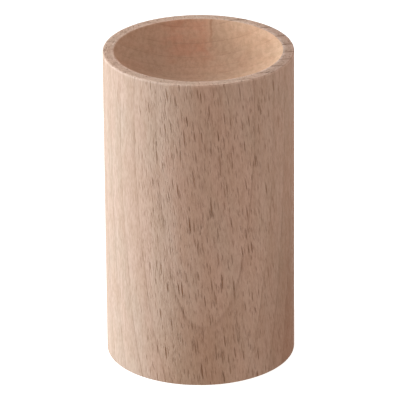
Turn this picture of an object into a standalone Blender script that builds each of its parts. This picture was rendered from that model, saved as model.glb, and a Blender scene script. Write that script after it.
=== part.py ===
"""Turned beech needle case: a one-piece case with a dished magnetic top and a pull-out base plug.

Needles in use lie in the dish, held by a magnet hidden under its floor. The stored needles stand in
the chamber, points down on a cork pad, and a plug with a rubber ring closes the chamber from below.
Lengths are in metres. The origin is the centre of the base, and +Z runs up the case's axis.
"""

import math

import bpy

MM = 0.001

# Driving dimensions of the case
CASE_DIAMETER = 35.0 * MM
CASE_HEIGHT = 59.5 * MM
RIM_WIDTH = 2.0 * MM
DISH_DEPTH = 3.6 * MM
CHAMBER_DIAMETER = 22.0 * MM
FINGER_RECESS_DIAMETER = 29.0 * MM
FINGER_RECESS_DEPTH = 6.8 * MM
MAGNET_DIAMETER = 15.0 * MM
MAGNET_THICKNESS = 2.0 * MM

# Gaps, and the smallest details of the turning
GAP = 0.3 * MM
SLIDE_GAP = 0.7 * MM
EDGE_ROUND = 0.2 * MM
EASE_WIDTH = 1.1 * MM
EASE_DROP = 0.7 * MM
MOUTH_CHAMFER = 0.4 * MM
DISH_FLOOR_WOOD = 1.5 * MM
COVER_THICKNESS = 1.2 * MM
MAGNET_CHAMFER = 0.15 * MM
COVER_CHAMFER = 0.1 * MM
PAD_CHAMFER = 0.3 * MM

# The plug
KNOB_CLEARANCE = 0.5 * MM
KNOB_DIAMETER = 13.0 * MM
KNOB_WAIST_DIAMETER = 9.6 * MM
KNOB_BEAD_SHARE = 0.3
FLANGE_THICKNESS = 1.6 * MM
SPIGOT_LENGTH = 6.6 * MM
SPIGOT_LEAD = 0.6 * MM
RING_PLACE = 0.42
RING_SECTION = 2.0 * MM
RING_SQUEEZE_GAP = 0.3 * MM
PAD_DIAMETER = 17.0 * MM
PAD_THICKNESS = 2.4 * MM
PAD_SEAT_DEPTH = 1.4 * MM

# Sizes worked out from the ones above
CASE_R = CASE_DIAMETER / 2
DISH_R = CASE_R - RIM_WIDTH
CHAMBER_R = CHAMBER_DIAMETER / 2
RECESS_R = FINGER_RECESS_DIAMETER / 2
MAGNET_R = MAGNET_DIAMETER / 2
POCKET_R = MAGNET_R + GAP
POCKET_TOP_Z = CASE_HEIGHT - DISH_DEPTH - DISH_FLOOR_WOOD
MAGNET_Z = POCKET_TOP_Z - GAP - MAGNET_THICKNESS
COVER_Z = MAGNET_Z - GAP - COVER_THICKNESS
CHAMBER_TOP_Z = COVER_Z
FLANGE_TOP_Z = FINGER_RECESS_DEPTH - GAP
FLANGE_Z = FLANGE_TOP_Z - FLANGE_THICKNESS
FLANGE_R = RECESS_R - SLIDE_GAP
SPIGOT_R = CHAMBER_R - SLIDE_GAP
SPIGOT_TOP_Z = FLANGE_TOP_Z + SPIGOT_LENGTH
RING_SECTION_R = RING_SECTION / 2
RING_R = CHAMBER_R - RING_SQUEEZE_GAP - RING_SECTION_R
RING_Z = FLANGE_TOP_Z + RING_PLACE * SPIGOT_LENGTH
GROOVE_R = RING_R - RING_SECTION_R - GAP
GROOVE_HALF = RING_SECTION_R + GAP
PAD_R = PAD_DIAMETER / 2
PAD_SEAT_R = PAD_R + GAP
PAD_Z = SPIGOT_TOP_Z - PAD_SEAT_DEPTH + GAP

# Fineness of the meshes
TURNED_STEPS = 64
SMALL_STEPS = 40
RING_STEPS = 56
EDGE_STEPS = 3
DISH_STEPS = 9
WAIST_STEPS = 4
BEAD_STEPS = 8
RING_SECTION_STEPS = 12
SHARP_ANGLE = math.radians(35)
MERGE = 0.00001


def main():
    clear_scene()
    case = new_body("case")
    plug = new_body("plug")
    make_case_body(case)
    make_dish_magnet(case)
    make_magnet_cover(case)
    make_base_plug(plug)
    make_plug_ring(plug)
    make_tip_pad(plug)


# Helpers

def clear_scene():
    for obj in list(bpy.data.objects):
        bpy.data.objects.remove(obj)


def needle_case_collection():
    found = bpy.data.collections.get("needle_case")
    if found is None:
        found = bpy.data.collections.new("needle_case")
        bpy.context.scene.collection.children.link(found)
    return found


def new_body(name):
    """An empty on the case's axis, which carries the pieces that move together."""
    empty = bpy.data.objects.new(name + "_axis", None)
    empty.empty_display_size = CASE_R
    needle_case_collection().objects.link(empty)
    return empty


def new_material(name, colour, roughness, metallic=0.0):
    material = bpy.data.materials.new(name)
    material.use_nodes = True
    shader = material.node_tree.nodes["Principled BSDF"]
    shader.inputs["Base Color"].default_value = (*colour, 1.0)
    shader.inputs["Roughness"].default_value = roughness
    shader.inputs["Metallic"].default_value = metallic
    return material


def arc(centre_r, centre_z, radius, start_deg, end_deg, steps=EDGE_STEPS):
    """Points (r, z) along an arc, both ends included. Angles run from +r towards +z."""
    points = []
    for i in range(steps + 1):
        angle = math.radians(start_deg + (end_deg - start_deg) * i / steps)
        points.append((centre_r + radius * math.cos(angle), centre_z + radius * math.sin(angle)))
    return points


def hollow(width, depth, top_z, steps):
    """Points (r, z) up a spherical hollow, from its lowest point on the axis to its edge."""
    sphere_r = (width**2 + depth**2) / (2 * depth)
    centre_z = top_z - depth + sphere_r
    edge_deg = math.degrees(math.asin(width / sphere_r))
    points = arc(0.0, centre_z, sphere_r, -90, -90 + edge_deg, steps)
    points[0] = (0.0, top_z - depth)
    return points


def turn(name, profile, base_z, parent, material, steps=TURNED_STEPS, closed=False):
    """Spins a profile of (r, z) points about Z. It runs from the top, down the outside."""
    mesh = bpy.data.meshes.new(name + "_profile")
    corners = [(r, 0.0, z - base_z) for r, z in profile]
    count = len(corners)
    last = count if closed else count - 1
    edges = [(i, (i + 1) % count) for i in range(last)]
    mesh.from_pydata(corners, edges, [])
    blank = bpy.data.objects.new(name + "_blank", mesh)
    needle_case_collection().objects.link(blank)
    screw = blank.modifiers.new("Turned", "SCREW")
    screw.axis = "Z"
    screw.angle = math.tau
    screw.steps = steps
    screw.render_steps = steps
    screw.use_merge_vertices = True
    screw.merge_threshold = MERGE

    turned_mesh = bpy.data.meshes.new_from_object(
        blank.evaluated_get(bpy.context.evaluated_depsgraph_get())
    )
    bpy.data.objects.remove(blank)
    bpy.data.meshes.remove(mesh)
    turned_mesh.name = name
    turned_mesh.shade_smooth()
    turned_mesh.set_sharp_from_angle(angle=SHARP_ANGLE)
    turned_mesh.materials.append(material)

    piece = bpy.data.objects.new(name, turned_mesh)
    piece.location.z = base_z
    piece.parent = parent
    needle_case_collection().objects.link(piece)
    return piece


def disc_profile(radius, bottom_z, thickness, edge):
    """A flat disc with a chamfer of the given width on both edges."""
    top_z = bottom_z + thickness
    return [
        (0.0, top_z),
        (radius - edge, top_z),
        (radius, top_z - edge),
        (radius, bottom_z + edge),
        (radius - edge, bottom_z),
        (0.0, bottom_z),
    ]


# The case and what is fixed in it

def make_case_body(parent):
    """One piece of beech: dish and rim above, chamber and finger recess bored from below."""
    outside = hollow(DISH_R - EASE_WIDTH, DISH_DEPTH - EASE_DROP, CASE_HEIGHT - EASE_DROP, DISH_STEPS)
    outside.append((DISH_R, CASE_HEIGHT))
    outside += arc(CASE_R - EDGE_ROUND, CASE_HEIGHT - EDGE_ROUND, EDGE_ROUND, 90, 0)
    outside += arc(CASE_R - EDGE_ROUND, EDGE_ROUND, EDGE_ROUND, 0, -90)
    inside = [
        (RECESS_R + MOUTH_CHAMFER, 0.0),
        (RECESS_R, MOUTH_CHAMFER),
        (RECESS_R, FINGER_RECESS_DEPTH),
        (CHAMBER_R, FINGER_RECESS_DEPTH),
        (CHAMBER_R, CHAMBER_TOP_Z),
        (POCKET_R, CHAMBER_TOP_Z),
        (POCKET_R, POCKET_TOP_Z),
        (0.0, POCKET_TOP_Z),
    ]
    beech = new_material("beech", (0.42, 0.27, 0.19), 0.55)
    return turn("case_body", outside + inside, 0.0, parent, beech)


def make_dish_magnet(parent):
    """Disc magnet in the pocket under the dish, which holds needles laid in the dish."""
    nickel = new_material("nickel_plate", (0.62, 0.60, 0.56), 0.25, 1.0)
    profile = disc_profile(MAGNET_R, MAGNET_Z, MAGNET_THICKNESS, MAGNET_CHAMFER)
    return turn("dish_magnet", profile, MAGNET_Z, parent, nickel, SMALL_STEPS)


def make_magnet_cover(parent):
    """Thin cork disc glued in below the magnet, flush with the chamber's ceiling."""
    cork = new_material("cover_cork", (0.46, 0.27, 0.13), 0.9)
    profile = disc_profile(MAGNET_R, COVER_Z, COVER_THICKNESS, COVER_CHAMFER)
    return turn("magnet_cover", profile, COVER_Z, parent, cork, SMALL_STEPS)


# The plug and what is fixed on it

def make_base_plug(parent):
    """Turned beech plug: pad seat and spigot above, then its flange and the finger knob."""
    knob_r = KNOB_DIAMETER / 2
    waist_r = KNOB_WAIST_DIAMETER / 2
    bead_r = (FLANGE_Z - KNOB_CLEARANCE) * KNOB_BEAD_SHARE
    waist_round = FLANGE_Z - KNOB_CLEARANCE - 2 * bead_r
    seat_z = SPIGOT_TOP_Z - PAD_SEAT_DEPTH
    profile = [
        (0.0, seat_z),
        (PAD_SEAT_R, seat_z),
        (PAD_SEAT_R, SPIGOT_TOP_Z),
        (SPIGOT_R - SPIGOT_LEAD, SPIGOT_TOP_Z),
        (SPIGOT_R, SPIGOT_TOP_Z - SPIGOT_LEAD),
        (SPIGOT_R, RING_Z + GROOVE_HALF),
        (GROOVE_R, RING_Z + GROOVE_HALF),
        (GROOVE_R, RING_Z - GROOVE_HALF),
        (SPIGOT_R, RING_Z - GROOVE_HALF),
        (SPIGOT_R, FLANGE_TOP_Z),
        (FLANGE_R - EDGE_ROUND, FLANGE_TOP_Z),
    ]
    profile += arc(FLANGE_R - EDGE_ROUND, FLANGE_TOP_Z - EDGE_ROUND, EDGE_ROUND, 90, 0)[1:]
    profile += arc(FLANGE_R - EDGE_ROUND, FLANGE_Z + EDGE_ROUND, EDGE_ROUND, 0, -90)
    profile += arc(waist_r + waist_round, FLANGE_Z - waist_round, waist_round, 90, 180, WAIST_STEPS)
    profile += arc(knob_r - bead_r, KNOB_CLEARANCE + bead_r, bead_r, 90, -90, BEAD_STEPS)
    profile.append((0.0, KNOB_CLEARANCE))
    beech = new_material("plug_beech", (0.44, 0.29, 0.20), 0.6)
    return turn("base_plug", profile, KNOB_CLEARANCE, parent, beech)


def make_plug_ring(parent):
    """Rubber ring in the spigot's groove, whose grip holds the plug in the chamber."""
    rubber = new_material("ring_rubber", (0.02, 0.02, 0.02), 0.6)
    section = arc(RING_R, RING_Z, RING_SECTION_R, 90, -270, RING_SECTION_STEPS)[:-1]
    return turn("plug_ring", section, RING_Z, parent, rubber, RING_STEPS, closed=True)


def make_tip_pad(parent):
    """Cork pad let into the plug's top, on which the needle points rest."""
    cork = new_material("pad_cork", (0.48, 0.29, 0.14), 0.9)
    profile = disc_profile(PAD_R, PAD_Z, PAD_THICKNESS, PAD_CHAMFER)
    return turn("tip_pad", profile, PAD_Z, parent, cork, SMALL_STEPS)


main()
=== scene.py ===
"""Looks for the turned beech needle case: finer turned pieces, wood, cork, rubber and nickel."""

import math

import bpy
from mathutils import Euler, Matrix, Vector, noise


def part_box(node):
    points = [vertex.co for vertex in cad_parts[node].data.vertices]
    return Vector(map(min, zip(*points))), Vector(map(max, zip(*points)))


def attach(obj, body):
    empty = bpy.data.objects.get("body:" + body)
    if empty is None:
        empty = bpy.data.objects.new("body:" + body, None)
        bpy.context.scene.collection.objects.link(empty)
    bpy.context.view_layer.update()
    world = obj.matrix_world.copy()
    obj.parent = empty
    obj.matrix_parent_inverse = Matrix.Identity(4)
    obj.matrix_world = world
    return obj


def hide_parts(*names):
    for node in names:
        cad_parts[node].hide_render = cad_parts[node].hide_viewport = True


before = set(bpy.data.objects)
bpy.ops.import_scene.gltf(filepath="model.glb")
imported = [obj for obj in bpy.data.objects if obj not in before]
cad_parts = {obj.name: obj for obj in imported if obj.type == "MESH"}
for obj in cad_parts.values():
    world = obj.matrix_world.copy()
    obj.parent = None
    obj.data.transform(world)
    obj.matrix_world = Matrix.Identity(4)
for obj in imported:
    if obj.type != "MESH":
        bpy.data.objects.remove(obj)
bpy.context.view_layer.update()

MM = 0.001

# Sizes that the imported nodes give
CASE_LOW, CASE_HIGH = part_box("case_body")
PLUG_LOW, PLUG_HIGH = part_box("base_plug")
RING_LOW, RING_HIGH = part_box("plug_ring")
PAD_LOW, PAD_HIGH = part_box("tip_pad")
MAGNET_LOW, MAGNET_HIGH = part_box("dish_magnet")
COVER_LOW, COVER_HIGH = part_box("magnet_cover")

CASE_R = CASE_HIGH.x
CASE_TOP = CASE_HIGH.z
FLANGE_R = PLUG_HIGH.x
PLUG_TOP = PLUG_HIGH.z

# Sizes that the nodes' boxes do not hold, as in the CAD model
RIM_WIDTH = 2.0 * MM
DISH_DEPTH = 3.6 * MM
EASE_WIDTH = 1.1 * MM
EASE_DROP = 0.7 * MM
FIXED_GAP = 0.3 * MM
SLIDE_GAP = 0.7 * MM
RECESS_DEPTH = 6.8 * MM
FLANGE_THICKNESS = 1.6 * MM
KNOB_R = 6.5 * MM
KNOB_WAIST_R = 4.8 * MM
GROOVE_HALF = 1.3 * MM

DISH_R = CASE_R - RIM_WIDTH
CHAMBER_R = RING_HIGH.x + FIXED_GAP
RECESS_R = FLANGE_R + SLIDE_GAP
POCKET_R = MAGNET_HIGH.x + FIXED_GAP
POCKET_TOP = MAGNET_HIGH.z + FIXED_GAP
CHAMBER_TOP = COVER_LOW.z
SPIGOT_R = CHAMBER_R - SLIDE_GAP
FLANGE_TOP = RECESS_DEPTH - FIXED_GAP
FLANGE_LOW = FLANGE_TOP - FLANGE_THICKNESS
RING_Z = (RING_LOW.z + RING_HIGH.z) / 2
RING_SECTION_R = (RING_HIGH.z - RING_LOW.z) / 2
PAD_SEAT_R = PAD_HIGH.x + FIXED_GAP
PAD_SEAT_Z = PAD_LOW.z - FIXED_GAP

# The tree that the case was cut from, in millimetres. The pith lies far behind the case, so the
# front is cut along the rings, where they show as tall arches.
PITH_DISTANCE = 150.0
PITH_ANGLE = math.radians(4)
RING_DRIFT = 0.14
RING_DRIFT_BEND = 0.0014
GRAIN_LEAN = 0.09
RING_WAVINESS = 1.1

# How the rings are spaced, from the front of the case towards the pith: rings per mm at the start,
# how fast that falls, where it stops falling, and the steady rate after that
RINGS_START = -1.35
RINGS_WIDEN_UNTIL = 19.6
RINGS_FIRST_RATE = 0.399
RINGS_WIDENING = 0.00478
RINGS_LAST_RATE = 0.211

# Stage, light and camera
TABLE_RADIUS = 2.4
TABLE_GAP = 0.02 * MM
BACKDROP_RADIUS = 2.5
WORLD_COLOUR = (1.0, 0.885, 0.84, 1.0)
WORLD_LEFT = 0.67
WORLD_RIGHT = 0.50
WINDOW_AZIMUTH = math.radians(-95)
WINDOW_ELEVATION = math.radians(15)
WINDOW_DISTANCE = 0.9
WINDOW_SIDE = 0.35
WINDOW_COLOUR = (0.74, 0.96, 1.10)
WINDOW_ENERGY = 9.0
LENS = 402.0
CAMERA_BACK = 43.183
CAMERA_UP = 20.598
CAMERA_PITCH = math.radians(23.598)
CAMERA_ROLL = math.radians(-0.5)
CAMERA_SHIFT = (0.0011, -0.0097)

# Fineness of the turned meshes
CASE_SEGMENTS = 288
PLUG_SEGMENTS = 192
RING_SEGMENTS = 160
DISC_SEGMENTS = 128
RING_SECTION_POINTS = 36
PARTING_POINT = 9
PARTING_SHRINK = 0.985


# Materials

class Graph:
    """A node material that is built up from short calls."""

    def __init__(self, name):
        self.material = bpy.data.materials.new(name)
        self.material.use_nodes = True
        self.tree = self.material.node_tree
        self.shader = self.tree.nodes["Principled BSDF"]

    def add(self, kind, **settings):
        made = self.tree.nodes.new("ShaderNode" + kind)
        for key, value in settings.items():
            setattr(made, key, value)
        return made

    def feed(self, socket, value):
        """Links a socket's source, or sets a plain value."""
        if isinstance(value, bpy.types.NodeSocket):
            self.tree.links.new(value, socket)
        elif value is not None:
            socket.default_value = value

    def math(self, operation, *values):
        made = self.add("Math", operation=operation)
        for socket, value in zip(made.inputs, values):
            self.feed(socket, value)
        return made.outputs[0]

    def vector(self, operation, *values):
        made = self.add("VectorMath", operation=operation)
        for socket, value in zip(made.inputs, values):
            self.feed(socket, value)
        return made.outputs["Value" if operation in ("LENGTH", "DOT_PRODUCT") else "Vector"]

    def split(self, vector):
        made = self.add("SeparateXYZ")
        self.feed(made.inputs[0], vector)
        return made.outputs[0], made.outputs[1], made.outputs[2]

    def join(self, x, y, z):
        made = self.add("CombineXYZ")
        for socket, value in zip(made.inputs, (x, y, z)):
            self.feed(socket, value)
        return made.outputs[0]

    def noise(self, vector, scale, detail=2.0, roughness=0.5):
        made = self.add("TexNoise")
        self.feed(made.inputs["Vector"], vector)
        made.inputs["Scale"].default_value = scale
        made.inputs["Detail"].default_value = detail
        made.inputs["Roughness"].default_value = roughness
        return made.outputs["Fac"]

    def cells(self, vector, feature="F1"):
        made = self.add("TexVoronoi", feature=feature)
        self.feed(made.inputs["Vector"], vector)
        made.inputs["Scale"].default_value = 1.0
        return made

    def spread(self, value, low, high, to_low=0.0, to_high=1.0, smooth=True):
        """Maps a stretch of values onto another, and clamps at its ends."""
        made = self.add("MapRange", interpolation_type="SMOOTHSTEP" if smooth else "LINEAR")
        for socket, item in zip(made.inputs, (value, low, high, to_low, to_high)):
            self.feed(socket, item)
        return made.outputs[0]

    def mix(self, factor, first, second, blend="MIX"):
        made = self.add("Mix", data_type="RGBA", blend_type=blend, clamp_factor=True)
        self.feed(made.inputs[0], factor)
        self.feed(made.inputs[6], rgba(first))
        self.feed(made.inputs[7], rgba(second))
        return made.outputs[2]

    def ramp(self, value, stops):
        """A colour ramp from (position, colour) stops."""
        made = self.add("ValToRGB")
        elements = made.color_ramp.elements
        while len(elements) < len(stops):
            elements.new(1.0)
        for element, (position, colour) in zip(elements, stops):
            element.position = position
            element.color = rgba(colour)
        self.feed(made.inputs[0], value)
        return made.outputs[0]

    def bump(self, height, distance):
        made = self.add("Bump")
        made.inputs["Strength"].default_value = 1.0
        made.inputs["Distance"].default_value = distance
        self.feed(made.inputs["Height"], height)
        return made.outputs[0]

    def place(self, offset=(0.0, 0.0, 0.0)):
        """The piece's own coordinates in millimetres, moved to another part of the plank."""
        coordinates = self.add("TexCoord").outputs["Object"]
        return self.vector("ADD", self.vector("SCALE", coordinates, None, None, 1 / MM), offset)


def rgba(colour):
    """Adds the alpha to a plain colour, and leaves a socket as it is."""
    if isinstance(colour, tuple) and len(colour) == 3:
        return (*colour, 1.0)
    return colour


def scaled(graph, vector, x, y, z):
    return graph.vector("MULTIPLY", vector, (x, y, z))


def ring_index(graph, position):
    """Counts growth rings from the front of the case towards the pith."""
    x, y, z = graph.split(position)
    pith_x = -PITH_DISTANCE * math.sin(PITH_ANGLE)
    pith_y = PITH_DISTANCE * math.cos(PITH_ANGLE)
    across = graph.vector("LENGTH", graph.join(graph.math("SUBTRACT", x, pith_x),
                                               graph.math("SUBTRACT", y, pith_y), 0.0))
    depth = graph.math("SUBTRACT", PITH_DISTANCE + CASE_R / MM, across)
    drift = graph.math("MULTIPLY", z, graph.math("MULTIPLY_ADD", z, -RING_DRIFT_BEND, RING_DRIFT))
    waviness = graph.noise(scaled(graph, position, 0.09, 0.09, 0.03), 1.0, 2.0)
    depth = graph.math("SUBTRACT", depth, drift)
    depth = graph.math("MULTIPLY_ADD", graph.math("SUBTRACT", waviness, 0.5), RING_WAVINESS, depth)
    # The rings widen towards the pith, up to a steady width.
    past_start = graph.math("SUBTRACT", depth, RINGS_START)
    near = graph.math("MINIMUM", past_start, RINGS_WIDEN_UNTIL)
    far = graph.math("MAXIMUM", graph.math("SUBTRACT", past_start, RINGS_WIDEN_UNTIL), 0.0)
    rate = graph.math("MULTIPLY_ADD", near, -RINGS_WIDENING, RINGS_FIRST_RATE)
    return graph.math("MULTIPLY_ADD", far, RINGS_LAST_RATE, graph.math("MULTIPLY", near, rate))


def beech(name, offset=(0.0, 0.0, 0.0), dish=False):
    """Solid beech: growth rings, ray flecks that are short and dark on the front, fine fibre and
    slow changes of tone. Every surface cuts the same solid pattern. The sums are in millimetres."""
    g = Graph(name)
    place = g.place(offset)
    x, y, z = g.split(place)
    skewed = g.math("MULTIPLY_ADD", x, 0.37, g.math("MULTIPLY_ADD", y, 0.29, z))
    along = g.join(g.math("MULTIPLY_ADD", z, GRAIN_LEAN, x), y, skewed)
    normal = g.split(g.add("TexCoord").outputs["Normal"])
    end_grain = g.spread(g.math("ABSOLUTE", normal[2]), 0.55, 0.85)
    quarter_cut = g.spread(g.math("ABSOLUTE", g.math("SUBTRACT", normal[0], 0.12)), 0.50, 0.86)
    in_dish = dish_mask(g, x, y, z) if dish else 0.0
    rim = g.math("SUBTRACT", end_grain, g.math("MULTIPLY", end_grain, in_dish))

    # Growth rings: each year darkens slowly and ends in a thin line
    in_ring = g.math("FRACT", ring_index(g, place))
    tone = g.ramp(in_ring, [
        (0.00, (0.638, 0.456, 0.347)),
        (0.35, (0.662, 0.479, 0.367)),
        (0.85, (0.688, 0.502, 0.390)),
        (1.00, (0.678, 0.494, 0.380)),
    ])
    if dish:
        tone = g.mix(g.math("MULTIPLY", in_dish, 0.7), tone, (0.668, 0.482, 0.370))
    clear_lines = g.math("MULTIPLY", rim, g.spread(x, -2.0, 11.0, 0.3, 1.0))
    line_width = g.math("MULTIPLY_ADD", clear_lines, 0.09, 0.07)
    after = g.spread(in_ring, 0.0, line_width, 1.0, 0.0)
    line = g.math("MAXIMUM", after, g.spread(in_ring, 0.975, 1.0))
    broken = g.spread(g.noise(scaled(g, along, 0.5, 0.5, 0.12), 1.0, 2.0), 0.40, 0.6, 0.2, 1.0)
    broken = g.math("MAXIMUM", broken, g.math("MULTIPLY", clear_lines, 0.7))
    line_depth = g.math("MULTIPLY_ADD", clear_lines, 0.66, 0.34)
    if dish:
        line_depth = g.math("MULTIPLY", line_depth, g.math("MULTIPLY_ADD", in_dish, -0.25, 1.0))
    tone = g.mix(g.math("MULTIPLY", g.math("MULTIPLY", line, broken), line_depth), tone,
                 (0.42, 0.33, 0.29), "MULTIPLY")

    # Slow drifts between pinker and yellower wood, stretched along the grain
    drift = g.noise(scaled(g, along, 0.16, 0.12, 0.05), 1.0, 3.0, 0.6)
    tone = g.mix(g.spread(drift, 0.35, 0.65, 0.0, 0.6), tone, (1.03, 0.94, 0.92), "MULTIPLY")
    patches = g.noise(scaled(g, along, 0.45, 0.45, 0.14), 1.0, 2.0, 0.5)
    tone = g.mix(g.spread(patches, 0.3, 0.7, 0.0, 0.5), tone, (0.91, 0.90, 0.85), "MULTIPLY")

    # Fibre: thin streaks along the grain, coarser and finer, and open pores on the rim
    streaks = g.noise(scaled(g, along, 2.2, 2.2, 0.4), 1.0, 2.0, 0.6)
    fibre = g.noise(scaled(g, along, 5.0, 5.0, 1.1), 1.0, 2.0, 0.5)
    fibre = g.math("MULTIPLY_ADD", fibre, 0.5, g.math("MULTIPLY", streaks, 0.5))
    shown = g.math("MULTIPLY_ADD", in_dish, -0.35, 0.62) if dish else 0.62
    tone = g.mix(g.math("MULTIPLY", g.spread(fibre, 0.38, 0.64), shown), tone, (0.74, 0.68, 0.64),
                 "MULTIPLY")
    pores = g.noise(scaled(g, along, 3.2, 1.7, 1.7), 1.0, 2.0, 0.6)
    pores = g.math("MULTIPLY", g.spread(pores, 0.55, 0.70), rim)
    tone = g.mix(g.math("MULTIPLY", pores, 0.6), tone, (0.55, 0.46, 0.40), "MULTIPLY")

    # Rays: lens-shaped sheets, thin around the tree, tall, and long towards the pith
    large = ray_sheets(g, along, (2.0, 0.055, 0.15), 0.12, 0.30, 0.95)
    for_small = g.vector("ADD", along, (31.0, 17.0, 43.0))
    small = ray_sheets(g, for_small, (3.0, 0.06, 0.30), 0.10, 0.38, 0.95)
    for_fine = g.vector("ADD", along, (57.0, 11.0, 23.0))
    fine = ray_sheets(g, for_fine, (4.4, 0.09, 0.55), 0.10, 0.45, 0.9)
    rays = g.math("MAXIMUM", g.math("MULTIPLY", small, 0.6), large)
    rays = g.math("MAXIMUM", g.math("MULTIPLY", fine, 0.32), rays)
    rays = g.math("MULTIPLY", rays, g.math("MULTIPLY_ADD", end_grain, -0.95, 1.0))
    rays = g.math("MULTIPLY", rays, g.math("MULTIPLY_ADD", quarter_cut, -0.85, 1.0))
    tone = g.mix(rays, tone, (0.62, 0.44, 0.32), "MULTIPLY")

    if dish:
        tone = case_marks_and_painted_light(g, tone, in_dish, rim, x, y, z)
    g.feed(g.shader.inputs["Base Color"], tone)
    roughness = g.spread(fibre, 0.3, 0.7, 0.60, 0.72)
    g.feed(g.shader.inputs["Roughness"], g.math("MULTIPLY_ADD", rays, 0.1, roughness))
    height = g.math("MULTIPLY_ADD", rays, -2.3, g.math("MULTIPLY", fibre, -0.9))
    height = g.math("MULTIPLY_ADD", pores, -0.8, height)
    if dish:
        height = g.math("MULTIPLY", height, g.math("MULTIPLY_ADD", in_dish, -0.8, 1.0))
    g.feed(g.shader.inputs["Normal"], g.bump(height, 0.00010))
    g.shader.inputs["Specular IOR Level"].default_value = 0.12
    return g.material


def case_marks_and_painted_light(g, tone, in_dish, rim, x, y, z):
    """The case's marks and painted light: its burnished dish with a redder patch and a thin streak, painted
    shade towards the dish's centre and on its left wall, painted light on its right wall and along its front
    inner edge, painted light on the rim's top face, painted shade low on the right and on the right side,
    the front darker towards the bottom, and painted highlights along its rounded arrises."""
    radius = g.vector("LENGTH", g.join(x, y, 0.0))
    tone = g.mix(in_dish, tone, (1.0, 0.865, 0.745), "MULTIPLY")
    # Painted shade: darker towards the dish's centre, down in its hollow.
    painted_shade_dish_centre = g.math("MULTIPLY", in_dish, g.spread(radius, 8.0, 15.2, 1.0, 0.0))
    tone = g.mix(painted_shade_dish_centre, tone, (0.88, 0.86, 0.85), "MULTIPLY")
    # Painted shade on the dish's left wall, which faces away from the window.
    painted_shade_left_wall = g.math("MULTIPLY", in_dish, g.spread(x, -8.0, 10.0, 1.0, 0.0))
    tone = g.mix(painted_shade_left_wall, tone, (0.88, 0.90, 0.93), "MULTIPLY")
    figure = g.noise(g.join(g.math("MULTIPLY", x, 1.4), g.math("MULTIPLY", y, 0.4), z), 1.0, 3.0, 0.65)
    figure = g.math("MULTIPLY", g.spread(figure, 0.42, 0.62), in_dish)
    tone = g.mix(figure, tone, (0.90, 0.88, 0.86), "MULTIPLY")
    ragged = g.noise(g.join(x, y, z), 0.35, 3.0, 0.6)
    across = g.math("MULTIPLY_ADD", ragged, 5.0, g.math("SUBTRACT", x, 2.5))
    patch = g.math("MULTIPLY", g.spread(across, -8.0, -3.0), g.spread(across, 1.2, 3.0, 1.0, 0.0))
    patch = g.math("MULTIPLY", patch, g.spread(g.math("MULTIPLY_ADD", ragged, 6.0, y), 1.0, 11.0))
    patch = g.math("MULTIPLY", patch, g.spread(ragged, 0.35, 0.6, 0.45, 1.0))
    tone = g.mix(g.math("MULTIPLY", patch, in_dish), tone, (1.04, 0.87, 0.83), "MULTIPLY")
    streak = g.math("ABSOLUTE", g.math("SUBTRACT", g.math("MULTIPLY_ADD", ragged, 1.6, x), 3.2))
    streak = g.math("MULTIPLY", g.spread(streak, 0.05, 0.34, 1.0, 0.0), g.spread(y, 5.0, 12.0))
    tone = g.mix(g.math("MULTIPLY", streak, in_dish), tone, (0.86, 0.78, 0.72), "MULTIPLY")
    # Painted light on the dish's right wall, which faces the window.
    painted_light_right_wall = g.math("MULTIPLY", g.spread(x, 1.0, 10.0), g.spread(radius, 7.0, 12.5))
    tone = g.mix(g.math("MULTIPLY", painted_light_right_wall, in_dish), tone, (1.09, 1.10, 1.08), "MULTIPLY")
    # Painted highlight along the dish's front inner edge.
    painted_highlight_front_edge = g.math("MULTIPLY", g.spread(radius, DISH_R / MM - 1.5, DISH_R / MM - 0.9),
                       g.spread(y, -6.0, 2.0, 1.0, 0.0))
    tone = g.mix(g.math("MULTIPLY", painted_highlight_front_edge, in_dish), tone, (1.10, 1.11, 1.11), "MULTIPLY")

    # Painted shade low on the right, where the floor's bounce is lost in the case's shadow.
    painted_shade_low_right = g.math("MULTIPLY", g.spread(x, 8.0, 17.2), g.spread(z, 2.0, 46.0, 1.0, 0.0))
    tone = g.mix(painted_shade_low_right, tone, (0.74, 0.66, 0.60), "MULTIPLY")
    # Painted shade on the case's right side, away from the window.
    painted_shade_right_side = g.math("MULTIPLY", g.spread(x, 14.0, 17.3), g.spread(z, 40.0, 58.0, 1.0, 0.3))
    tone = g.mix(painted_shade_right_side, tone, (0.90, 0.80, 0.73), "MULTIPLY")
    # Darker towards the bottom of the front.
    low_front = g.math("MULTIPLY", g.spread(g.math("ABSOLUTE", x), 4.0, 11.0, 1.0, 0.0),
                       g.spread(z, 3.0, 24.0, 1.0, 0.0))
    low_front = g.math("MULTIPLY", low_front, g.spread(y, -12.0, -6.0, 1.0, 0.0))
    tone = g.mix(low_front, tone, (0.90, 0.86, 0.81), "MULTIPLY")
    beside = g.spread(g.math("ABSOLUTE", g.math("SUBTRACT", x, 10.5)), 1.0, 5.0, 1.0, 0.0)
    mid_height = g.spread(g.math("ABSOLUTE", g.math("SUBTRACT", z, 26.0)), 4.0, 22.0, 1.0, 0.0)
    lighter = g.math("MULTIPLY", beside, mid_height)
    tone = g.mix(lighter, tone, (1.05, 1.05, 1.05), "MULTIPLY")

    # Painted light: the rim's top face made lighter.
    tone = g.mix(rim, tone, (1.13, 1.14, 1.15), "MULTIPLY")
    right_rim = g.math("MULTIPLY", rim, g.spread(x, 9.0, 15.0))
    tone = g.mix(right_rim, tone, (0.84, 0.85, 0.87), "MULTIPLY")
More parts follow.
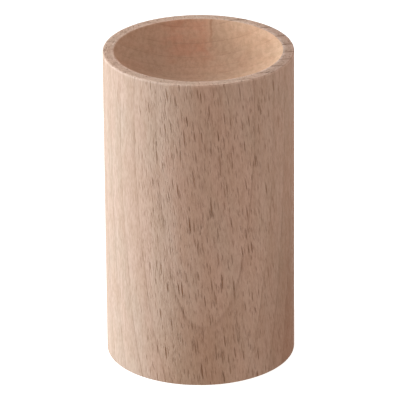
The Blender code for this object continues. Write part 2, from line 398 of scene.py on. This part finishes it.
    # Painted highlight along the rim's outer and inner arrises.
    top = g.spread(z, CASE_TOP / MM - 0.5, CASE_TOP / MM - 0.15)
    outer = g.spread(radius, CASE_R / MM - 0.55, CASE_R / MM - 0.25)
    inner = g.math("MULTIPLY", g.spread(radius, DISH_R / MM - 0.35, DISH_R / MM - 0.05),
                   g.spread(radius, DISH_R / MM + 0.25, DISH_R / MM + 0.5, 1.0, 0.0))
    painted_highlight_arris = g.math("MULTIPLY", g.math("MAXIMUM", outer, inner), top)
    return g.mix(painted_highlight_arris, tone, (1.16, 1.2, 1.24), "MULTIPLY")


def dish_mask(g, x, y, z):
    """One inside the burnished dish, and zero over the rest of the case."""
    radius = g.vector("LENGTH", g.join(x, y, 0.0))
    inside = g.spread(radius, DISH_R / MM - 0.15, DISH_R / MM + 0.05, 1.0, 0.0)
    low = (CASE_TOP - DISH_DEPTH) / MM
    return g.math("MULTIPLY", inside, g.spread(z, low - 0.5, low - 0.3))


def ray_sheets(g, along, density, core, edge, share):
    """Lens-shaped spots, one in each cell of the given density per mm, in a share of the cells."""
    found = g.cells(scaled(g, along, *density))
    first, second, third = g.split(found.outputs["Color"])
    present = g.math("LESS_THAN", first, share)
    size = g.spread(second, 0.0, 1.0, 0.65, 1.05, smooth=False)
    strength = g.spread(third, 0.0, 1.0, 0.35, 1.0, smooth=False)
    near = g.math("DIVIDE", found.outputs["Distance"], size)
    spot = g.math("MULTIPLY", g.spread(near, core, edge, 1.0, 0.0), present)
    return g.math("MULTIPLY", spot, strength)


def cork(name, offset):
    """Pressed cork: angular granules of differing brown, with dark joints between them."""
    g = Graph(name)
    place = g.place(offset)
    granules = g.cells(scaled(g, place, 1.1, 1.1, 1.1))
    shade = g.split(granules.outputs["Color"])[0]
    tone = g.ramp(shade, [
        (0.0, (0.38, 0.21, 0.095)),
        (0.35, (0.56, 0.33, 0.16)),
        (0.75, (0.66, 0.42, 0.22)),
        (1.0, (0.75, 0.51, 0.30)),
    ])
    joints = g.cells(scaled(g, place, 1.1, 1.1, 1.1), "DISTANCE_TO_EDGE")
    joint = g.spread(joints.outputs["Distance"], 0.02, 0.09, 1.0, 0.0)
    tone = g.mix(g.math("MULTIPLY", joint, 0.7), tone, (0.14, 0.07, 0.035))
    speckle = g.noise(place, 7.0, 3.0, 0.6)
    tone = g.mix(g.spread(speckle, 0.35, 0.7, 0.0, 0.5), tone, (0.72, 0.68, 0.62), "MULTIPLY")
    g.feed(g.shader.inputs["Base Color"], tone)
    g.feed(g.shader.inputs["Roughness"], g.spread(speckle, 0.3, 0.7, 0.75, 0.92))
    height = g.math("MULTIPLY_ADD", joint, -1.0, g.math("MULTIPLY", speckle, 0.5))
    g.feed(g.shader.inputs["Normal"], g.bump(height, 0.00008))
    return g.material


def rubber(name):
    """Moulded black rubber with a faint bloom."""
    g = Graph(name)
    place = g.place()
    bloom = g.noise(place, 0.6, 4.0, 0.6)
    tone = g.mix(g.spread(bloom, 0.35, 0.7), (0.012, 0.012, 0.013), (0.035, 0.034, 0.033))
    g.feed(g.shader.inputs["Base Color"], tone)
    g.feed(g.shader.inputs["Roughness"], g.spread(bloom, 0.3, 0.7, 0.38, 0.58))
    g.feed(g.shader.inputs["Normal"], g.bump(g.noise(place, 9.0, 2.0), 0.00001))
    return g.material


def nickel(name):
    """Nickel plating over a pressed magnet: bright, with fine tumbling marks."""
    g = Graph(name)
    place = g.place()
    marks = g.noise(place, 5.0, 4.0, 0.65)
    cloud = g.noise(place, 0.35, 2.0)
    tone = g.mix(g.spread(cloud, 0.3, 0.7), (0.66, 0.63, 0.57), (0.74, 0.71, 0.66))
    g.feed(g.shader.inputs["Base Color"], tone)
    g.shader.inputs["Metallic"].default_value = 1.0
    g.feed(g.shader.inputs["Roughness"], g.spread(marks, 0.3, 0.7, 0.16, 0.30))
    g.feed(g.shader.inputs["Normal"], g.bump(marks, 0.000008))
    return g.material


# Turned shapes

def arc(centre_r, centre_z, radius, start_deg, end_deg, steps):
    """Points (r, z) along an arc, both ends included. Angles run from +r towards +z."""
    points = []
    for i in range(steps + 1):
        angle = math.radians(start_deg + (end_deg - start_deg) * i / steps)
        points.append((centre_r + radius * math.cos(angle), centre_z + radius * math.sin(angle)))
    return points


def softened(corners, steps=5):
    """An outline from (r, z, round) corners, each rounded over its own distance."""
    points = []
    for i, (r, z, size) in enumerate(corners):
        here = Vector((r, z))
        if size == 0 or i in (0, len(corners) - 1):
            points.append((r, z))
            continue
        before = (Vector(corners[i - 1][:2]) - here)
        after = (Vector(corners[i + 1][:2]) - here)
        start = here + before.normalized() * min(size, before.length * 0.48)
        end = here + after.normalized() * min(size, after.length * 0.48)
        for k in range(steps + 1):
            t = k / steps
            point = start * (1 - t) ** 2 + here * 2 * t * (1 - t) + end * t**2
            points.append((point.x, point.y))
    return points


def finer(points, longest):
    """Adds points to an outline so that no stretch of it is longer than this."""
    dense = [points[0]]
    for first, second in zip(points, points[1:]):
        count = max(1, math.ceil(math.dist(first, second) / longest))
        for k in range(1, count + 1):
            t = k / count
            dense.append((first[0] + (second[0] - first[0]) * t, first[1] + (second[1] - first[1]) * t))
    return dense


def turned(name, outline, segments, material, body, replaces, closed=False, relief=None):
    """Spins an outline about the case's axis, works its surface, and puts it on its body."""
    count = len(outline)
    edges = [(i, (i + 1) % count) for i in range(count if closed else count - 1)]
    mesh = bpy.data.meshes.new(name + "_outline")
    mesh.from_pydata([(r, 0.0, z) for r, z in outline], edges, [])
    blank = bpy.data.objects.new(name + "_blank", mesh)
    bpy.context.scene.collection.objects.link(blank)
    screw = blank.modifiers.new("Turned", "SCREW")
    screw.steps = segments
    screw.render_steps = segments
    screw.use_merge_vertices = True
    screw.merge_threshold = 0.000001
    spun = bpy.data.meshes.new_from_object(
        blank.evaluated_get(bpy.context.evaluated_depsgraph_get())
    )
    bpy.data.objects.remove(blank)
    spun.name = name
    if relief:
        for vertex in spun.vertices:
            vertex.co = relief(vertex.co)
    spun.shade_smooth()
    spun.set_sharp_from_angle(angle=math.radians(60))
    spun.materials.append(material)
    piece = bpy.data.objects.new(name, spun)
    bpy.context.scene.collection.objects.link(piece)
    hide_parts(replaces)
    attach(piece, body)
    return piece


def hand_finish(point):
    """Tiny hollows from turning and sanding, always inwards, so that the case keeps its size."""
    radius = math.hypot(point.x, point.y)
    if radius < CHAMBER_R + 3 * MM and point.z < POCKET_TOP + 0.5 * MM:
        return point
    slow = noise.noise(point * 140.0)
    fuzz = noise.noise(Vector((point.x, point.y, point.z * 0.4)) * 900.0)
    outer = max(0.0, (radius - (CASE_R - 0.5 * MM)) / (0.5 * MM))
    edge = max(0.0, 1 - (CASE_TOP - point.z) / (0.6 * MM)) + max(0.0, 1 - point.z / (0.5 * MM))
    inward = outer * (0.02 * (0.5 + 0.5 * slow) + 0.05 * edge * max(0.0, fuzz)) * MM
    shrink = 1 - inward / max(radius, MM)
    return Vector((point.x * shrink, point.y * shrink, point.z))


def make_case():
    width = DISH_R - EASE_WIDTH
    depth = DISH_DEPTH - EASE_DROP
    sphere_r = (width**2 + depth**2) / (2 * depth)
    edge_deg = math.degrees(math.asin(width / sphere_r))
    dish = arc(0.0, CASE_TOP - DISH_DEPTH + sphere_r, sphere_r, -90, -90 + edge_deg, 44)
    dish[0] = (0.0, CASE_TOP - DISH_DEPTH)
    wall = softened([
        (*dish[-2], 0),
        (*dish[-1], 0.35 * MM),
        (DISH_R, CASE_TOP, 0.25 * MM),
        (CASE_R, CASE_TOP, 0.25 * MM),
        (CASE_R, 0.0, 0.2 * MM),
        (RECESS_R + 0.3 * MM, 0.0, 0.3 * MM),
        (RECESS_R, 0.5 * MM, 0.3 * MM),
        (RECESS_R, RECESS_DEPTH, 0.15 * MM),
        (CHAMBER_R, RECESS_DEPTH, 0.25 * MM),
        (CHAMBER_R, CHAMBER_TOP, 0.15 * MM),
        (POCKET_R, CHAMBER_TOP, 0.1 * MM),
        (POCKET_R, POCKET_TOP, 0.1 * MM),
        (0.0, POCKET_TOP, 0),
    ])
    outline = finer(dish[:-1] + wall[1:], 1.2 * MM)
    turned("turned_case", outline, CASE_SEGMENTS, beech("case_beech", dish=True), "case",
           "case_body", relief=hand_finish)


def make_plug():
    bead_r = (FLANGE_LOW - PLUG_LOW.z) * 0.3
    waist = FLANGE_LOW - PLUG_LOW.z - 2 * bead_r
    upper = softened([
        (0.0, PAD_SEAT_Z, 0),
        (PAD_SEAT_R, PAD_SEAT_Z, 0.1 * MM),
        (PAD_SEAT_R, PLUG_TOP, 0.15 * MM),
        (SPIGOT_R - 0.5 * MM, PLUG_TOP, 0.3 * MM),
        (SPIGOT_R, PLUG_TOP - 0.8 * MM, 0.4 * MM),
        (SPIGOT_R, RING_Z + GROOVE_HALF, 0.15 * MM),
        (RING_HIGH.x - 2 * RING_SECTION_R - FIXED_GAP, RING_Z + GROOVE_HALF, 0.2 * MM),
        (RING_HIGH.x - 2 * RING_SECTION_R - FIXED_GAP, RING_Z - GROOVE_HALF, 0.2 * MM),
        (SPIGOT_R, RING_Z - GROOVE_HALF, 0.15 * MM),
        (SPIGOT_R, FLANGE_TOP, 0.15 * MM),
        (FLANGE_R, FLANGE_TOP, 0.4 * MM),
        (FLANGE_R, FLANGE_LOW, 0.4 * MM),
        (KNOB_WAIST_R + waist, FLANGE_LOW, 0),
    ])
    lower = arc(KNOB_WAIST_R + waist, FLANGE_LOW - waist, waist, 90, 180, 12)[1:]
    lower += arc(KNOB_R - bead_r, PLUG_LOW.z + bead_r, bead_r, 90, -90, 20)
    lower.append((0.0, PLUG_LOW.z))
    outline = finer(upper + lower, 0.9 * MM)
    wood = beech("turned_plug_beech", (210.0, -37.0, 91.0))
    turned("turned_plug", outline, PLUG_SEGMENTS, wood, "plug", "base_plug")


def make_ring():
    """The rubber ring, with the fine parting line that its mould leaves on its outer side."""
    centre = RING_HIGH.x - RING_SECTION_R
    section = []
    for i in range(RING_SECTION_POINTS):
        angle = math.tau * (0.25 - i / RING_SECTION_POINTS)
        flash = 1.0 if i == PARTING_POINT else PARTING_SHRINK
        section.append((centre + RING_SECTION_R * flash * math.cos(angle),
                        RING_Z + RING_SECTION_R * flash * math.sin(angle)))
    turned("rubber_ring", section, RING_SEGMENTS, rubber("moulded_rubber"), "plug",
           "plug_ring", closed=True)


def disc_outline(radius, low, high, size):
    return finer(softened([
        (0.0, high, 0),
        (radius, high, size),
        (radius, low, size),
        (0.0, low, 0),
    ]), 0.35 * MM)


def crumbled(low, high):
    """Relief for cut cork: shallow pits where granules have pulled out."""
    middle = (low + high) / 2

    def work(point):
        pit = max(0.0, noise.noise(point * 1100.0) - 0.15) + 0.4 * max(0.0, noise.noise(point * 2600.0))
        inward = 0.12 * MM * min(1.0, pit)
        toward = math.copysign(inward, middle - point.z) if abs(point.z - middle) > 0.3 * MM else 0.0
        radius = max(math.hypot(point.x, point.y), MM)
        shrink = 1 - inward * (radius / MM > 6.0) / radius
        return Vector((point.x * shrink, point.y * shrink, point.z + toward))

    return work


def make_cork_pieces():
    turned("cork_pad", disc_outline(PAD_HIGH.x, PAD_LOW.z, PAD_HIGH.z, 0.35 * MM), DISC_SEGMENTS,
           cork("pad_cork", (7.0, 3.0, 5.0)), "plug", "tip_pad",
           relief=crumbled(PAD_LOW.z, PAD_HIGH.z))
    turned("cork_cover", disc_outline(COVER_HIGH.x, COVER_LOW.z, COVER_HIGH.z, 0.15 * MM), DISC_SEGMENTS,
           cork("cover_cork", (41.0, 13.0, 29.0)), "case", "magnet_cover",
           relief=crumbled(COVER_LOW.z, COVER_HIGH.z))


def make_magnet():
    turned("disc_magnet", disc_outline(MAGNET_HIGH.x, MAGNET_LOW.z, MAGNET_HIGH.z, 0.25 * MM), DISC_SEGMENTS,
           nickel("magnet_nickel"), "case", "dish_magnet")


# Stage, lights and camera

def make_floor():
    """A pale table that is seen from above only, and adds no bounce of its own to the case."""
    g = Graph("pale_table")
    g.shader.inputs["Base Color"].default_value = (0.9, 0.9, 0.9, 1.0)
    g.shader.inputs["Roughness"].default_value = 0.9
    g.shader.inputs["Specular IOR Level"].default_value = 0.1
    g.shader.inputs["Emission Color"].default_value = (0.95, 1.0, 1.0, 1.0)
    g.shader.inputs["Emission Strength"].default_value = 0.8
    choice = g.add("MixShader")
    g.tree.links.new(g.add("NewGeometry").outputs["Backfacing"], choice.inputs[0])
    g.tree.links.new(g.shader.outputs[0], choice.inputs[1])
    g.tree.links.new(g.add("BsdfTransparent").outputs[0], choice.inputs[2])
    g.tree.links.new(choice.outputs[0], g.tree.nodes["Material Output"].inputs["Surface"])
    bpy.ops.mesh.primitive_circle_add(vertices=96, radius=TABLE_RADIUS, fill_type="NGON",
                                      location=(0.0, 0.0, CASE_LOW.z - TABLE_GAP))
    floor = bpy.context.object
    floor.name = "table"
    floor.visible_diffuse = False
    floor.data.materials.append(g.material)


def make_backdrop():
    """White paper far behind every view. It lights nothing and shades nothing."""
    g = Graph("white_backdrop")
    g.shader.inputs["Base Color"].default_value = (0.0, 0.0, 0.0, 1.0)
    g.shader.inputs["Emission Color"].default_value = (1.0, 1.0, 1.0, 1.0)
    g.shader.inputs["Emission Strength"].default_value = 1.0
    bpy.ops.mesh.primitive_uv_sphere_add(segments=48, ring_count=24, radius=BACKDROP_RADIUS)
    backdrop = bpy.context.object
    backdrop.name = "backdrop"
    backdrop.visible_diffuse = False
    backdrop.visible_glossy = False
    backdrop.visible_shadow = False
    backdrop.data.materials.append(g.material)


def make_lights():
    world = bpy.data.worlds.new("studio")
    world.use_nodes = True
    tree = world.node_tree
    background = tree.nodes["Background"]
    background.inputs["Color"].default_value = WORLD_COLOUR
    direction = tree.nodes.new("ShaderNodeTexCoord")
    axes = tree.nodes.new("ShaderNodeSeparateXYZ")
    graded = tree.nodes.new("ShaderNodeMapRange")
    graded.inputs["From Min"].default_value = -1.0
    graded.inputs["To Min"].default_value = WORLD_LEFT
    graded.inputs["To Max"].default_value = WORLD_RIGHT
    tree.links.new(direction.outputs["Generated"], axes.inputs[0])
    tree.links.new(axes.outputs["X"], graded.inputs["Value"])
    tree.links.new(graded.outputs[0], background.inputs["Strength"])
    bpy.context.scene.world = world

    light = bpy.data.lights.new("window", "AREA")
    light.shape = "RECTANGLE"
    light.size = WINDOW_SIDE
    light.size_y = WINDOW_SIDE
    light.color = WINDOW_COLOUR
    light.energy = WINDOW_ENERGY
    window = bpy.data.objects.new("window", light)
    window.location = (
        WINDOW_DISTANCE * math.sin(WINDOW_AZIMUTH) * math.cos(WINDOW_ELEVATION),
        -WINDOW_DISTANCE * math.cos(WINDOW_AZIMUTH) * math.cos(WINDOW_ELEVATION),
        CASE_TOP / 2 + WINDOW_DISTANCE * math.sin(WINDOW_ELEVATION),
    )
    aim = Vector((0.0, 0.0, CASE_TOP / 2)) - window.location
    window.rotation_euler = aim.to_track_quat("-Z", "Y").to_euler()
    bpy.context.scene.collection.objects.link(window)


def make_camera():
    """A long lens, looking down at the case's front. Its distances are in case radii."""
    lens_data = bpy.data.cameras.new("camera")
    lens_data.sensor_width = 36.0
    lens_data.lens = LENS
    lens_data.clip_start = 0.01
    camera = bpy.data.objects.new("camera", lens_data)
    camera.location = (0.0, -CAMERA_BACK * CASE_R, CAMERA_UP * CASE_R)
    camera.rotation_mode = "XYZ"
    tilt = Euler((math.pi / 2 - CAMERA_PITCH, 0.0, 0.0)).to_matrix()
    turn = tilt @ Euler((0.0, 0.0, CAMERA_ROLL)).to_matrix()
    camera.rotation_euler = turn.to_euler()
    lens_data.shift_x, lens_data.shift_y = CAMERA_SHIFT
    bpy.context.scene.collection.objects.link(camera)
    bpy.context.scene.camera = camera


bpy.context.scene.view_settings.view_transform = "Standard"
make_case()
make_plug()
make_ring()
make_cork_pieces()
make_magnet()
make_floor()
make_backdrop()
make_lights()
make_camera()
